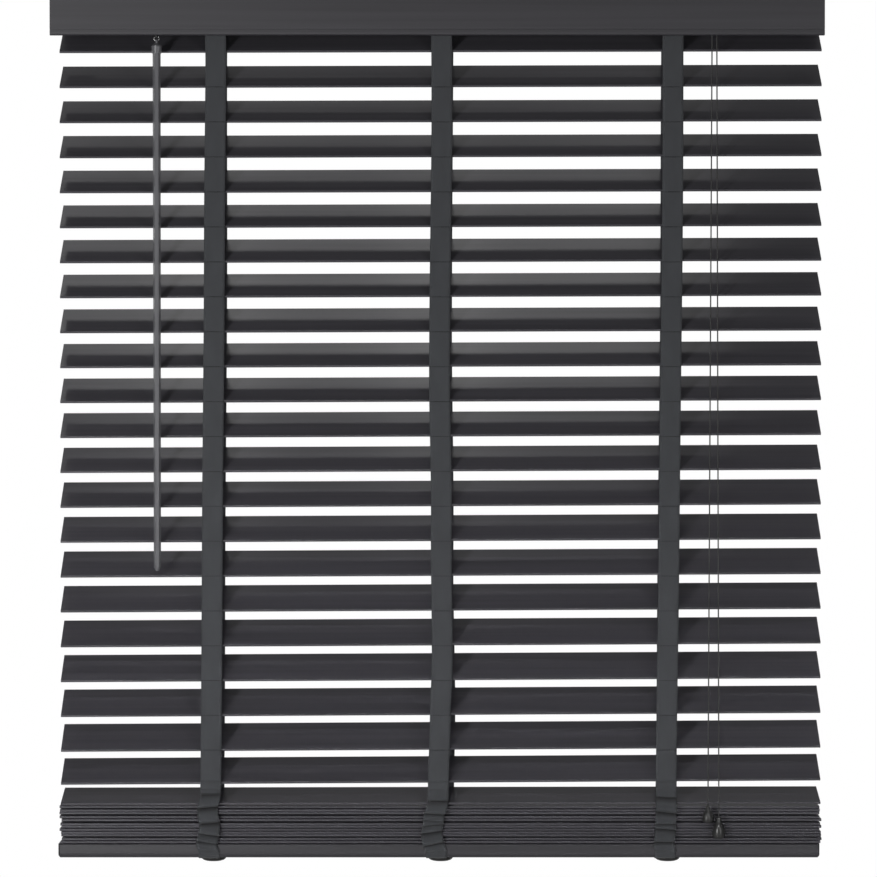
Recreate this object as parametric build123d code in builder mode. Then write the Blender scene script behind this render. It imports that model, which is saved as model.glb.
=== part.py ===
from build123d import *
import math
import os

# Sizes in millimetres and degrees. X runs to the right along the slats, -Y faces the room,
# and Z = 0 is the ceiling plane on top of the brackets.

# Slats
slat_length = 916
slat_width = 50
slat_thickness = 3
slat_edge = 0.7
slat_pitch = 42
slat_tilt = 34
last_slat_tilt = 31
hanging_slats = 22
first_slat_z = -83
first_slat_rise = 2.2
last_slat_rise = 5.3
route_width = 6.5
route_length = 20

# Slats gathered on the bottom rail
stacked_slats_count = 12
stack_gap = 0.83
stack_unevenness = 1.8
resting_slat_z = -994.6
resting_slat_tilt = 13.8

# Ladders
ladder_spacing = 275
ladder_positions = (-ladder_spacing, 0, ladder_spacing)
ladder_lean = 0.34
ladder_middle_z = -570
tape_width = 25
tape_thickness = 0.6
tape_clearance = 2.1
tape_folds = 6
tape_fold_depth = 6
fold_steps = 4
rung_offset = 6
rung_width = 3
rung_thickness = 0.6
rung_gap = 0.05

# Headrail, a steel channel
headrail_length = 910
headrail_width = 57
headrail_height = 51
headrail_top = -2
headrail_wall = 1
headrail_lip = 5
tape_slot_length = 34
tape_slot_width = 20.4
tape_slot_y = 17.25

# Valance
valance_length = 926
valance_height = 78.2
valance_thickness = 6.5
valance_top = -1.5
valance_back = -38.5
valance_shift = -4
valance_bead = 6.6

# Bottom rail
rail_length = 918
rail_width = 50
rail_height = 17
rail_top = -1051
rail_shift = -2
rail_corner = 6

# Tilt rod, drums and cradles
rod_z = -24
rod_across = 6.35
rod_left = -362
rod_right = 300
drum_radius = 11
hub_radius = 6
bearing_clearance = 0.05
cradle_upright = 3.5

# Tilter
tilter_x = -340
tilter_slant = 20
wheel_teeth = 12
wheel_tip_radius = 10.9
worm_distance = 14
worm_core_radius = 2.8
stem_radius = 2.5
eye_z = -80
eye_radius = 3.2
eye_hole_radius = 1.8
eye_thickness = 1.2
hook_ring_radius = 3
hook_wire_radius = 0.8

# Wand
wand_across = 9.6
wand_end_across = 8.6
wand_bottom = -721
sleeve_radius = 6.3

# Cords
cord_radius = 0.8
cord_run_z = -42
cord_bend = 5
pull_y = -35
lock_x = 328

# Lift brackets
bracket_inner_end = 425
bracket_sheet = 1.2
bracket_hole_radius = 2.25
bracket_hole_x = 440

# Worked out from the sizes above
headrail_bottom = headrail_top - headrail_height
headrail_middle = headrail_top - headrail_height / 2
tape_inner = slat_width / 2 * math.cos(math.radians(slat_tilt)) + tape_clearance
last_slat_z = first_slat_z - slat_pitch * (hanging_slats - 1) + 1.3
rail_bottom = rail_top - rail_height
tape_wrap = rail_corner + tape_thickness / 2 + 0.4
stack_pitch = slat_thickness + stack_gap
stack_bottom_z = rail_top + stack_gap + slat_thickness / 2
eye_y = -worm_distance * math.cos(math.radians(tilter_slant)) - (
    rod_z + worm_distance * math.sin(math.radians(tilter_slant)) - eye_z
) * math.tan(math.radians(tilter_slant))

os.makedirs("parts", exist_ok=True)


def save(piece, name):
    piece.part.label = name
    export_step(piece.part, f"parts/{name}.step")


def slat_height(number):
    """Height of a hanging slat's centre, counted from 1 at the top."""
    if number == hanging_slats:
        return last_slat_z
    return first_slat_z - slat_pitch * (number - 1)


def slat_angle(number):
    return last_slat_tilt if number == hanging_slats else slat_tilt


def slat_rise(number):
    """How much higher the right end of a hanging slat is than its left end."""
    return first_slat_rise + (last_slat_rise - first_slat_rise) * (number - 1) / (hanging_slats - 1)


def slat_plane(z, tilt, rise):
    """Middle plane of a slat with its front edge turned down and its right end a little high."""
    turn = math.radians(tilt)
    lean = math.atan(rise / slat_length)
    return Plane(
        origin=(0, 0, z),
        x_dir=(math.cos(lean), 0, math.sin(lean)),
        z_dir=(-math.cos(turn) * math.sin(lean), -math.sin(turn), math.cos(turn) * math.cos(lean)),
    )


def ladder_x(x, z):
    """The tapes lean a little, so a ladder's centre moves left towards the bottom."""
    return x + (z - ladder_middle_z) * math.tan(math.radians(ladder_lean))


def rung_outline(z, tilt):
    """Side outline of a rung that runs under a slat, from the front tape to the back tape."""
    turn = math.radians(tilt)
    reach = tape_inner - rung_gap
    top = slat_thickness / 2 + rung_gap
    low = top + rung_thickness
    corners = ((-reach, top), (reach, top), (reach, low), (-reach, low))
    return [(y, z + y * math.tan(turn) - depth / math.cos(turn)) for y, depth in corners]


def rung_side(number):
    """Rungs lie by turns left and right of the lift cord, so that it passes between them."""
    return rung_offset if number % 2 else -rung_offset


def add_rungs(number):
    """A narrow cross tape under a hanging slat at each ladder."""
    z = slat_height(number)
    for ladder in ladder_positions:
        outline = rung_outline(z + ladder * slat_rise(number) / slat_length, slat_angle(number))
        left_edge = ladder_x(ladder, z) + rung_side(number) - rung_width / 2
        with BuildSketch(Plane.YZ.offset(left_edge)) as rung:
            Polygon(*outline, align=None)
        extrude(rung.sketch, amount=rung_width)


def ribbon(points, thickness):
    """Closed outline of a thin band that follows a line of points."""
    left, right = [], []
    for i, point in enumerate(points):
        before = Vector(points[max(i - 1, 0)])
        after = Vector(points[min(i + 1, len(points) - 1)])
        along = (after - before).normalized()
        side = Vector(-along.Y, along.X) * (thickness / 2)
        left.append(Vector(point) + side)
        right.append(Vector(point) - side)
    return left + right[::-1]


# One slat lying flat, with eased edges and a route hole for the lift cord at each ladder
with BuildPart() as flat_slat:
    with BuildSketch(Plane.XY.offset(-slat_thickness / 2)):
        Rectangle(slat_length, slat_width)
        with Locations(*[(x, 0) for x in ladder_positions]):
            Rectangle(route_width, route_length, mode=Mode.SUBTRACT)
    extrude(amount=slat_thickness)
    long_edges = flat_slat.edges().filter_by(Axis.X).filter_by(lambda edge: edge.length > slat_length / 2)
    chamfer(long_edges, slat_edge)

# Hanging slats, each the flat slat set on its own plane
for number in range(1, hanging_slats + 1):
    with BuildPart() as hanging_slat:
        with Locations(slat_plane(slat_height(number), slat_angle(number), slat_rise(number))):
            add(flat_slat.part)
    save(hanging_slat, f"slat_{number:02d}")

# Rungs of the slats between the first and the last
for number in range(2, hanging_slats):
    with BuildPart() as rungs:
        add_rungs(number)
    save(rungs, f"rungs_{number:02d}")

# Slats that lie on the bottom rail, with the rungs folded flat between them, and one slat above
stack_levels = [stack_bottom_z + stack_pitch * layer for layer in range(stacked_slats_count)]
with BuildPart() as plain_slat:
    with BuildSketch(Plane.XY.offset(-slat_thickness / 2)):
        Rectangle(slat_length, slat_width)
        with Locations(*[(x, 0) for x in ladder_positions]):
            Rectangle(route_width, route_length, mode=Mode.SUBTRACT)
    extrude(amount=slat_thickness)
with BuildPart() as stacked_slats:
    for layer, z in enumerate(stack_levels):
        with BuildSketch(Plane.XY.offset(z - slat_thickness / 2 - stack_gap + rung_gap)):
            with Locations(*[(x + rung_side(layer), 0) for x in ladder_positions]):
                Rectangle(rung_width, slat_width)
        extrude(amount=stack_gap - 2 * rung_gap)
    with Locations(*[(stack_unevenness * math.sin(2.4 * z), 0, z) for z in stack_levels]):
        add(plain_slat.part)
    with Locations(slat_plane(resting_slat_z, resting_slat_tilt, last_slat_rise / 4)):
        add(flat_slat.part)
save(stacked_slats, "stacked_slats")


def tape_line(side):
    """Side line of a tape, from its drum to its end under the bottom rail; side is -1 in front."""
    wrap = drum_radius + tape_thickness
    hang = tape_inner + tape_thickness / 2
    line = []
    for angle in range(60, -1, -20):
        turn = math.radians(angle)
        line.append((side * wrap * math.cos(turn), rod_z + wrap * math.sin(turn)))
    line.append((side * hang, first_slat_z + side * 0.4 * slat_pitch))
    line.append((side * hang, last_slat_z + side * 0.25 * slat_pitch - 0.15 * slat_pitch))
    top = resting_slat_z + 4
    bottom = rail_top + 2
    base = slat_width / 2 + 1
    steps = tape_folds * fold_steps
    for step in range(steps + 1):
        part = step / steps
        swell = 0.7 + 0.3 * math.sin(5 * part + 1)
        depth = tape_fold_depth * swell * (1 - math.cos(2 * math.pi * tape_folds * part)) / 2
        line.append((side * (base + depth), top + (bottom - top) * part))
    for angle in range(0, 91, 30):
        turn = math.radians(angle)
        out = rail_width / 2 - rail_corner + tape_wrap * math.cos(turn)
        line.append((side * out, rail_bottom + rail_corner - tape_wrap * math.sin(turn)))
    line.append((side * 12, rail_bottom + rail_corner - tape_wrap))
    return line


def add_tapes(side):
    """One woven tape at each ladder."""
    for ladder in ladder_positions:
        lean = math.radians(ladder_lean)
        plane = Plane(
            origin=(ladder_x(ladder, 0), 0, 0),
            x_dir=(0, 1, 0),
            z_dir=(math.cos(lean), 0, -math.sin(lean)),
        )
        with BuildSketch(plane) as band:
            Polygon(*ribbon(tape_line(side), tape_thickness), align=None)
        extrude(band.sketch, amount=tape_width / 2, both=True)


# Ladder tapes in front of the slats, with the rungs of the first and last hanging slats
with BuildPart() as front_tapes:
    add_tapes(-1)
    add_rungs(1)
    add_rungs(hanging_slats)
save(front_tapes, "front_tapes")

# Ladder tapes behind the slats
with BuildPart() as back_tapes:
    add_tapes(1)
save(back_tapes, "back_tapes")

# Headrail channel with inward lips, slots for the tapes and cords, and openings at its front corner
with BuildPart() as headrail:
    with BuildSketch(Plane.YZ):
        with Locations((0, headrail_middle)):
            Rectangle(headrail_width, headrail_height)
            inside_width = headrail_width - 2 * headrail_wall
            Rectangle(inside_width, headrail_height - 2 * headrail_wall, mode=Mode.SUBTRACT)
        with Locations((0, headrail_top)):
            Rectangle(inside_width - 2 * headrail_lip, 4 * headrail_wall, mode=Mode.SUBTRACT)
    extrude(amount=headrail_length / 2, both=True)
    with BuildSketch(Plane.XY.offset(headrail_bottom)):
        for ladder in ladder_positions:
            with Locations((ladder, 0)):
                Circle(2.5)
            with Locations((ladder, -tape_slot_y), (ladder, tape_slot_y)):
                Rectangle(tape_slot_length, tape_slot_width)
    extrude(amount=headrail_wall, mode=Mode.SUBTRACT)
    with BuildSketch(Plane.XY.offset(headrail_bottom)):
        with Locations((tilter_x, -headrail_width / 2)):
            Rectangle(16, 24)
    extrude(amount=14, mode=Mode.SUBTRACT)
    with BuildSketch(Plane.XY.offset(headrail_bottom)):
        with Locations((lock_x, -headrail_width / 2)):
            Rectangle(26, 24)
    extrude(amount=22, mode=Mode.SUBTRACT)
save(headrail, "headrail")

# Valance board with a bead and a groove along both long edges
with BuildPart() as valance:
    valance_bottom = valance_top - valance_height
    valance_front = valance_back - valance_thickness
    with BuildSketch(Plane.YZ.offset(valance_shift)) as valance_section:
        with Locations((valance_back - valance_thickness / 2, (valance_top + valance_bottom) / 2)):
            Rectangle(valance_thickness, valance_height)
        fillet(valance_section.vertices().group_by(Axis.X)[0], 2.8)
        with Locations(
            (valance_front, valance_bottom + valance_bead),
            (valance_front, valance_top - valance_bead),
        ):
            Rectangle(2.2, 1.3, mode=Mode.SUBTRACT)
    extrude(amount=valance_length / 2, both=True)
save(valance, "valance")

# Clips that hook over the headrail's front lip and hold the valance
with BuildPart() as valance_clips:
    for x in (-380, 0, 380):
        with BuildSketch(Plane.YZ.offset(x)):
            front = valance_back + 0.1
            hook = headrail_lip + headrail_wall - headrail_width / 2 + 0.1
            with BuildLine():
                Polyline(
                    (front, -0.4),
                    (hook + 1.4, -0.4),
                    (hook + 1.4, -5),
                    (hook, -5),
                    (hook, headrail_top + 0.1),
                    (front + 1.6, headrail_top + 0.1),
                    (front + 1.6, -49),
                    (-headrail_width / 2 - 0.1, -49),
                    (-headrail_width / 2 - 0.1, -50.6),
                    (front + 1.6, -50.6),
                    (front + 1.6, -66),
                    (front, -66),
                    close=True,
                )
            make_face()
        extrude(amount=10, both=True)
save(valance_clips, "valance_clips")

# Box brackets that close round the headrail's ends, with screw holes to wall and ceiling
bracket_front = -31
bracket_back = 33
bracket_floor = headrail_bottom - 0.05
bracket_hole_zs = (-14, -40)
bracket_hole_y = 14
with BuildPart() as brackets:
    for side in (-1, 1):
        inner = side * bracket_inner_end
        outer = side * (headrail_length / 2 + 2)
        with BuildSketch(Plane.YZ.offset(inner)) as tube:
            with BuildLine():
                Polyline(
                    (bracket_front, 0),
                    (bracket_back, 0),
                    (bracket_back, bracket_floor - bracket_sheet),
                    (bracket_front, bracket_floor - bracket_sheet),
                    close=True,
                )
            make_face()
            with BuildLine():
                Polyline(
                    (bracket_front + bracket_sheet, -bracket_sheet),
                    (bracket_back - bracket_sheet, -bracket_sheet),
                    (bracket_back - bracket_sheet, bracket_floor),
                    (bracket_front + bracket_sheet, bracket_floor),
                    close=True,
                )
            make_face(mode=Mode.SUBTRACT)
        extrude(amount=outer - inner)
        with BuildSketch(Plane.YZ.offset(outer)):
            with Locations(((bracket_front + bracket_back) / 2, (bracket_floor - bracket_sheet) / 2)):
                Rectangle(bracket_back - bracket_front, bracket_sheet - bracket_floor)
        extrude(amount=side * bracket_sheet)
        with BuildSketch(Plane.XZ.offset(-bracket_back)):
            with Locations(*[(side * bracket_hole_x, z) for z in bracket_hole_zs]):
                Circle(bracket_hole_radius)
        extrude(amount=bracket_sheet, mode=Mode.SUBTRACT)
        with BuildSketch(Plane.XY):
            with Locations(*[(side * bracket_hole_x, y) for y in (-bracket_hole_y, bracket_hole_y)]):
                Circle(bracket_hole_radius)
        extrude(amount=-bracket_sheet, mode=Mode.SUBTRACT)
save(brackets, "brackets")

# Cradles: a base with a rounded cord guide, and two uprights in which the drum's hubs turn
cradle_floor = headrail_bottom + headrail_wall
with BuildPart() as cradles:
    for ladder in ladder_positions:
        with BuildSketch(Plane.XY.offset(cradle_floor)):
            with Locations((ladder, 0)):
                Rectangle(44, 13)
        extrude(amount=1.5)
        with BuildSketch(Plane.XZ.offset(-5)):
            with Locations((ladder + cord_bend, cord_run_z - cord_bend)):
                RegularPolygon(cord_bend - cord_radius - 0.1, 12)
            with Locations((ladder + cord_bend, cradle_floor)):
                Rectangle(12, 3)
        extrude(amount=10)
        with BuildSketch(Plane.XY.offset(cradle_floor - 2)):
            with Locations((ladder + cord_bend, 0)):
                Rectangle(14, 14)
        extrude(amount=2, mode=Mode.SUBTRACT)
        with BuildSketch(Plane.XY.offset(cradle_floor)):
            with Locations((ladder, 0)):
                Rectangle(5, 5)
        extrude(amount=6, mode=Mode.SUBTRACT)
        for side in (-1, 1):
            with BuildSketch(Plane.YZ.offset(ladder + side * 17.2)):
                with Locations((0, (cradle_floor + rod_z) / 2)):
                    Rectangle(24, rod_z - cradle_floor)
                with Locations((0, rod_z)):
                    Circle(hub_radius + bearing_clearance, mode=Mode.SUBTRACT)
                with Locations((3.5, cord_run_z)):
                    Rectangle(13, 5, mode=Mode.SUBTRACT)
            extrude(amount=side * cradle_upright)
save(cradles, "cradles")

# Tilt rod with the three tape drums and the worm wheel that turns them
with BuildPart() as tilt_rod:
    with BuildSketch(Plane.YZ.offset(rod_left)):
        with Locations((0, rod_z)):
            RegularPolygon(rod_across / 2, 6, major_radius=False)
    extrude(amount=rod_right - rod_left)
    for ladder in ladder_positions:
        with BuildSketch(Plane.YZ.offset(ladder)):
            with Locations((0, rod_z)):
                Circle(hub_radius)
        extrude(amount=21.5, both=True)
        with BuildSketch(Plane.YZ.offset(ladder)):
            with Locations((0, rod_z)):
                Circle(drum_radius)
        extrude(amount=16.5, both=True)
    with BuildSketch(Plane.YZ.offset(tilter_x)):
        with Locations((0, rod_z)):
            Circle(wheel_tip_radius - 2.4)
            with PolarLocations(wheel_tip_radius - 1.5, wheel_teeth):
                Trapezoid(3.6, 3, 70, rotation=-90)
    extrude(amount=4.5, both=True)
save(tilt_rod, "tilt_rod")

# Slanted axis of the worm, from the middle of its mesh with the wheel down to the eye
slant = math.radians(tilter_slant)
worm_middle = Vector(
    tilter_x,
    -worm_distance * math.cos(slant),
    rod_z + worm_distance * math.sin(slant),
)
worm_down = Vector(0, -math.sin(slant), -math.cos(slant))
stem_length = (worm_middle.Z - eye_z) / math.cos(slant)


def worm_plane(distance):
    """Plane square to the worm's axis, a distance down from the middle of its mesh."""
    return Plane(origin=worm_middle + worm_down * distance, x_dir=(1, 0, 0), z_dir=worm_down)


# Tilter housing, a block with a snout at the headrail's lower front corner
with BuildPart() as tilter_housing:
    with BuildSketch(Plane.YZ.offset(tilter_x)) as block:
        with Locations((-4.5, -29.5)):
            Rectangle(39, 42)
        chamfer(block.vertices(), 3)
    extrude(amount=11, both=True)
    with BuildSketch(worm_plane(20)):
        Circle(5.5)
    extrude(amount=24)
    with BuildSketch(Plane.YZ.offset(tilter_x)):
        with Locations((0, rod_z)):
            Rectangle(2 * wheel_tip_radius + 1.4, 2 * wheel_tip_radius + 1.4)
    extrude(amount=5, both=True, mode=Mode.SUBTRACT)
    with BuildSketch(Plane.YZ.offset(tilter_x)):
        with Locations((0, rod_z)):
            RegularPolygon(rod_across / 2 + 1, 8)
    extrude(amount=12, both=True, mode=Mode.SUBTRACT)
    with BuildSketch(worm_plane(-10)):
        Rectangle(9.4, 9.4)
    extrude(amount=28, mode=Mode.SUBTRACT)
    with BuildSketch(worm_plane(0)):
        Circle(stem_radius + 0.1)
    extrude(amount=50, mode=Mode.SUBTRACT)
save(tilter_housing, "tilter_housing")

# Worm and its stem, which ends in a flat eye in front of the slats
with BuildPart() as tilter_worm:
    with BuildSketch(worm_plane(-9)):
        Circle(worm_core_radius)
    extrude(amount=26)
    with BuildSketch(worm_plane(-9)):
        Circle(4.4)
    extrude(amount=2)
    with BuildSketch(worm_plane(16)):
        Circle(stem_radius)
    extrude(amount=stem_length - 16 - eye_radius)
    with BuildSketch(worm_plane(stem_length - eye_radius - 1)):
        Rectangle(eye_thickness, 3.6)
    extrude(amount=2)
    with BuildSketch(Plane.YZ.offset(tilter_x)):
        with Locations((eye_y, eye_z)):
            Circle(eye_radius)
    extrude(amount=eye_thickness / 2, both=True)
    with BuildSketch(Plane.YZ.offset(tilter_x)):
        with Locations((eye_y, eye_z)):
            Circle(eye_hole_radius)
    extrude(amount=3, both=True, mode=Mode.SUBTRACT)
save(tilter_worm, "tilter_worm")

# Ring that hangs the wand from the eye
ring_z = eye_z - hook_ring_radius
with BuildPart() as wand_hook:
    with BuildSketch(Plane.XZ.offset(-eye_y)):
        with Locations((tilter_x, ring_z)):
            RegularPolygon(hook_ring_radius + hook_wire_radius, 16)
            RegularPolygon(hook_ring_radius - hook_wire_radius, 16, mode=Mode.SUBTRACT)
    extrude(amount=hook_wire_radius, both=True)
save(wand_hook, "wand_hook")

# Wand: a pierced tab, a pointed sleeve and a long six-sided rod with a rounded end
hang_z = ring_z - hook_ring_radius
sleeve_top = hang_z - 2.6
sleeve_bottom = sleeve_top - 12
with BuildPart() as wand:
    with BuildSketch(Plane.YZ.offset(tilter_x)):
        with Locations((eye_y, hang_z)):
            Circle(2.2)
        with Locations((eye_y, (hang_z + sleeve_top) / 2)):
            Rectangle(4.4, hang_z - sleeve_top)
    extrude(amount=1, both=True)
    with BuildSketch(Plane.YZ.offset(tilter_x)):
        with Locations((eye_y, hang_z)):
            Circle(1.25)
    extrude(amount=3, both=True, mode=Mode.SUBTRACT)
    with BuildSketch(Plane.XZ.offset(-eye_y)):
        with BuildLine():
            Polyline(
                (tilter_x, sleeve_top),
                (tilter_x + 2.4, sleeve_top),
                (tilter_x + sleeve_radius, sleeve_top - 3.4),
                (tilter_x + sleeve_radius - 0.6, sleeve_bottom),
                (tilter_x, sleeve_bottom),
                close=True,
            )
        make_face()
    revolve(axis=Axis((tilter_x, eye_y, 0), (0, 0, 1)))
    with BuildSketch(Plane((tilter_x, eye_y, sleeve_bottom + 1))):
        RegularPolygon(wand_across / 2, 6)
    with BuildSketch(Plane((tilter_x, eye_y, wand_bottom + 4))):
        RegularPolygon(wand_end_across / 2, 6)
    loft()
    with BuildSketch(Plane.XZ.offset(-eye_y)):
        tip_radius = wand_end_across / 2 * 0.86
        with BuildLine():
            Polyline(
                (tilter_x, wand_bottom + 4),
                (tilter_x + tip_radius, wand_bottom + 4),
                (tilter_x + tip_radius * 0.65, wand_bottom + 0.8),
                (tilter_x, wand_bottom),
                close=True,
            )
        make_face()
    revolve(axis=Axis((tilter_x, eye_y, 0), (0, 0, 1)))
save(wand, "wand")

# Cord lock: two cheeks on a base, a roller at the front and a pin that grips the cords on it
roller_y = pull_y + cord_bend
roller_z = cord_run_z - cord_bend
roller_radius = cord_bend - cord_radius - 0.1
with BuildPart() as cord_lock:
    for side in (-1, 1):
        with BuildSketch(Plane.YZ.offset(lock_x + side * 9)):
            with BuildLine():
                Polyline(
                    (12, -50),
                    (-18, -50),
                    (-36, -50),
                    (-36, -38),
                    (-24, -30),
                    (12, -30),
                    close=True,
                )
            make_face()
            if side < 0:
                with Locations((-10, cord_run_z)):
                    Rectangle(40, 5, mode=Mode.SUBTRACT)
        extrude(amount=side * 2)
    with BuildSketch(Plane.XY.offset(-51.5)):
        with Locations((lock_x, -3)):
            Rectangle(22, 30)
    extrude(amount=2)
    with BuildSketch(Plane.YZ.offset(lock_x)):
        with Locations((roller_y, roller_z)):
            Circle(roller_radius)
        with Locations((-22, -34)):
            Circle(3)
    extrude(amount=9.5, both=True)
save(cord_lock, "cord_lock")


def corner_radii(points, guides):
    """Radius at each corner: a guide's own size, or as large as the two runs allow."""
    radii = []
    for i in range(1, len(points) - 1):
        before = Vector(points[i]) - Vector(points[i - 1])
        after = Vector(points[i + 1]) - Vector(points[i])
        half_turn = math.radians(before.get_angle(after)) / 2
        free = 0.45 * min(before.length, after.length) / math.tan(half_turn)
        radii.append(guides.get(i, free))
    return radii


def add_cord(name, points, guides):
    """A tube of straight runs and tangent arcs; its size is printed and compared."""
    radii = corner_radii(points, guides)
    with BuildLine() as route:
        FilletPolyline(*points, radius=radii)
    line = route.wires()[0]
    with BuildSketch(Plane(origin=line @ 0, z_dir=line % 0)) as section:
        RegularPolygon(cord_radius, 4)
    cord = sweep(section.sketch, path=line)
    full = section.sketch.area * line.length
    print(name, "length", round(line.length, 1), "radii", [round(r, 1) for r in radii])
    print(name, "volume", round(cord.volume, 1), "section times length", round(full, 1))


# Lift cords, from a knot in the bottom rail up through the slats and along the headrail;
# two of them hang on from the lock as pull cords
cord_foot = rail_bottom + 6.5
knot_x = 235
right_points = [
    (ladder_spacing, 0, cord_foot),
    (ladder_spacing, 0, cord_run_z),
    (299, -0.5, cord_run_z),
    (325.2, pull_y, cord_run_z),
    (321.5, pull_y, -1003.9),
]
centre_points = [
    (0, 0, cord_foot),
    (0, 0, cord_run_z),
    (26, 3.4, cord_run_z),
    (301, 4.2, cord_run_z),
    (330.6, pull_y, cord_run_z),
    (334.6, pull_y, -1017),
]
left_points = [
    (-ladder_spacing, 0, cord_foot),
    (-ladder_spacing, 0, cord_run_z),
    (-248, 6.6, cord_run_z),
    (205, 7.4, cord_run_z),
    (knot_x, 4.4, cord_run_z),
]
with BuildPart() as lift_cords:
    add_cord("right cord", right_points, {1: cord_bend, 3: cord_bend})
    add_cord("centre cord", centre_points, {1: cord_bend, 4: cord_bend})
    add_cord("left cord", left_points, {1: cord_bend})
    with BuildSketch(Plane.YZ.offset(knot_x)):
        with Locations((4.2, cord_run_z)):
            RegularPolygon(2, 6)
    extrude(amount=1.8, both=True)
    with BuildSketch(Plane.XY.offset(cord_foot)):
        with Locations(*[(ladder, 0) for ladder in ladder_positions]):
            RegularPolygon(2.4, 6)
    extrude(amount=2, both=True)
save(lift_cords, "lift_cords")

# Tassels on the pull cords: bells that swell towards the bottom. The same side outline is cut
# from all round, which leaves a bell with flat sides.
tassel_ends = ((321.5, -1003.95, -1024.2, 6.9), (334.6, -1017.05, -1042.8, 7.9))
tassel_profile = ((0, 0.24), (0.14, 0.34), (0.3, 0.52), (0.55, 0.84), (0.78, 1), (0.93, 0.9), (1, 0.62))
tassel_sides = 12
bells = []
for x, top, bottom, radius in tassel_ends:
    right_side = [(share * radius, top - depth * (top - bottom)) for depth, share in tassel_profile]
    left_side = [(-across, z) for across, z in reversed(right_side)]
    with BuildPart() as bell:
        for turn in range(tassel_sides // 2):
            angle = 2 * math.pi * turn / tassel_sides
            facing = Plane(
                origin=(x, pull_y, 0),
                x_dir=(math.cos(angle), math.sin(angle), 0),
                z_dir=(math.sin(angle), -math.cos(angle), 0),
            )
            with BuildSketch(facing):
                Polygon(*right_side, *left_side, align=None)
            extrude(amount=2 * radius, both=True, mode=Mode.INTERSECT if turn else Mode.ADD)
    bells.append(bell.part)
with BuildPart() as tassels:
    for bell_part in bells:
        add(bell_part)
save(tassels, "tassels")

# Bottom rail, rounded underneath, with a cord hole and a plug recess at each ladder
recess_radius = 11
with BuildPart() as bottom_rail:
    with BuildSketch(Plane.YZ.offset(rail_shift)) as rail_section:
        with Locations((0, rail_top - rail_height / 2)):
            Rectangle(rail_width, rail_height)
        fillet(rail_section.vertices().group_by(Axis.Y)[0], rail_corner)
        chamfer(rail_section.vertices().group_by(Axis.Y)[-1], 1)
    extrude(amount=rail_length / 2, both=True)
    end_edges = bottom_rail.faces().sort_by(Axis.Z)[0].edges().filter_by(Axis.Y)
    chamfer(end_edges, 2)
    with BuildSketch(Plane.XY.offset(rail_bottom)):
        with Locations(*[(ladder, 0) for ladder in ladder_positions]):
            Circle(recess_radius)
    extrude(amount=10, mode=Mode.SUBTRACT)
    with BuildSketch(Plane.XY.offset(rail_top)):
        with Locations(*[(ladder, 0) for ladder in ladder_positions]):
            RegularPolygon(3.5, 6)
    extrude(amount=-rail_height, mode=Mode.SUBTRACT)
save(bottom_rail, "bottom_rail")

# Domed plugs that close the recesses and hold the ends of the tapes against the rail
flange_top = rail_bottom - tape_thickness - 0.5
flange_radius = 15
flange_depth = 5.4
with BuildPart() as rail_plugs:
    for ladder in ladder_positions:
        with BuildSketch(Plane.XZ):
            with BuildLine():
                Polyline(
                    (ladder + flange_radius, flange_top - 1.6),
                    (ladder + flange_radius, flange_top),
                    (ladder + recess_radius - 0.05, flange_top),
                    (ladder + recess_radius - 0.05, rail_bottom + 1.5),
                    (ladder, rail_bottom + 1.5),
                    (ladder, flange_top - flange_depth),
                    (ladder + 0.6 * flange_radius, flange_top - flange_depth),
                    close=True,
                )
            make_face()
        revolve(axis=Axis((ladder, 0, 0), (0, 0, 1)))
save(rail_plugs, "rail_plugs")
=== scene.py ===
# %% [markdown]
# A wooden venetian blind: dark painted slats hang on three ladder tapes under a valance, and the
# lowest slats lie gathered on the bottom rail. The measured model gives every rigid part its place.
# This lesson dresses it: cords, tapes, cross tapes, stitches, plugs and tassels are made here, and
# each surface gets a finish built from nodes.

# %% Load the measured frame
import math
import random

import bmesh
import bpy
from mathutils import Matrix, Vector


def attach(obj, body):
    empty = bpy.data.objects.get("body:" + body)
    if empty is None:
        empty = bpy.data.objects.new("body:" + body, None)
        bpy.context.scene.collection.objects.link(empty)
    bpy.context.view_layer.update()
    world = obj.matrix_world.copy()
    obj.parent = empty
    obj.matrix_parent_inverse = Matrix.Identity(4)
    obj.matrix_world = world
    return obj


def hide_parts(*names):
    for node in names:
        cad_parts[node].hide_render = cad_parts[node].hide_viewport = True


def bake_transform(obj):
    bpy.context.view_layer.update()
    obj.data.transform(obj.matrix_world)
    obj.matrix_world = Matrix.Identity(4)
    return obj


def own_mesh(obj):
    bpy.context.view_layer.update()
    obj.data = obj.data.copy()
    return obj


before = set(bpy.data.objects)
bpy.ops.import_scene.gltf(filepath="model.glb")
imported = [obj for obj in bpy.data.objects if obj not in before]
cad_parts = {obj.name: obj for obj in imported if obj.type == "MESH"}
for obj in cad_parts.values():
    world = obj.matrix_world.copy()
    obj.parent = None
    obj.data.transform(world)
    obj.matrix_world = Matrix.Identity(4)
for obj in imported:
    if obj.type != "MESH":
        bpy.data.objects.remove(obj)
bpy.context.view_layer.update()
MM = 0.001

# %% [markdown]
# The soft parts share a few sizes with the measured ones. They could be typed wherever they are
# used, but written once they keep the tape, cross tape and seam of one slat at the same height.

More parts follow.
